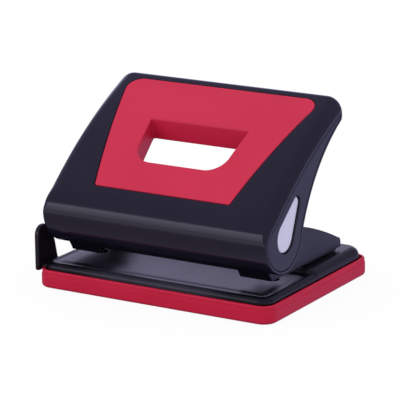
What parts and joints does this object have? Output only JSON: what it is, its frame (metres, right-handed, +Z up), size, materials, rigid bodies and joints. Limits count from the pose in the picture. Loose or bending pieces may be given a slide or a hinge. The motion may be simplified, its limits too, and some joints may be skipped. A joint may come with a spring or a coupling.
{
  "type": "two-hole punch",
  "caption": "Desk two-hole paper punch: lever handle with a finger slot, steel base with sprung punch pins, sliding paper guide and a clip-on chip tray.",
  "frame": {"origin": "centre of the chip tray's underside, on the table", "axes": "+X along the punch to the right as seen from the side where paper goes in, +Y away from that side towards the pressing end of the handle, +Z up"},
  "size_m": [0.1096, 0.0832, 0.0771],
  "materials": {
    "red_plastic": "fine satin texture",
    "black_plastic": "smooth satin gloss",
    "black_steel": "glossy black enamel",
    "zinc_steel": "bright zinc",
    "spring_steel": "drawn wire",
    "pale_plastic": "pale silver satin"
  },
  "bodies": {
    "tray": {"chip_tray": "red_plastic"},
    "punch": {"base_plate": "black_steel", "punch_bracket": "black_steel", "bracket_rivet_front_left": "zinc_steel", "bracket_rivet_front_right": "zinc_steel", "bracket_rivet_rear_left": "zinc_steel", "bracket_rivet_rear_right": "zinc_steel", "pivot_rod": "zinc_steel", "return_spring_left": "spring_steel", "return_spring_right": "spring_steel"},
    "handle": {"handle_shell": "black_plastic", "grip_panel": "red_plastic", "side_cap_left": "black_plastic", "side_cap_right": "black_plastic", "pivot_cover_left": "pale_plastic", "pivot_cover_right": "pale_plastic", "press_lever": "zinc_steel", "lever_screw_left": "zinc_steel", "lever_screw_right": "zinc_steel"},
    "pin_left": {"punch_pin_left": "zinc_steel", "pin_clip_left": "spring_steel"},
    "pin_right": {"punch_pin_right": "zinc_steel", "pin_clip_right": "spring_steel"},
    "guide": {"paper_guide": "black_plastic"}
  },
  "joints": [
    {"name": "tray_release", "type": "slide", "parent": "tray", "child": "punch", "axis": [0, 0, 1], "range_m": [0, 0.02]},
    {"name": "handle_hinge", "type": "hinge", "parent": "punch", "child": "handle", "pos_m": [0, -0.0241, 0.0309], "axis": [-1, 0, 0], "range_deg": [0, 30], "stiffness_Nm_per_rad": 0.2, "springref_deg": -51.57},
    {"name": "pin_slide_left", "type": "slide", "parent": "punch", "child": "pin_left", "axis": [0, 0, -1], "range_m": [0, 0.00469], "deforming": ["return_spring_left"]},
    {"name": "pin_slide_right", "type": "slide", "parent": "punch", "child": "pin_right", "axis": [0, 0, -1], "range_m": [0, 0.00469], "deforming": ["return_spring_right"]},
    {"name": "guide_slide", "type": "slide", "parent": "punch", "child": "guide", "axis": [-1, 0, 0], "range_m": [0, 0.075]}
  ],
  "couplings": [
    {"joint": "pin_slide_left", "follows": "handle_hinge", "m_per_rad": 0.008946},
    {"joint": "pin_slide_right", "follows": "handle_hinge", "m_per_rad": 0.008946}
  ]
}
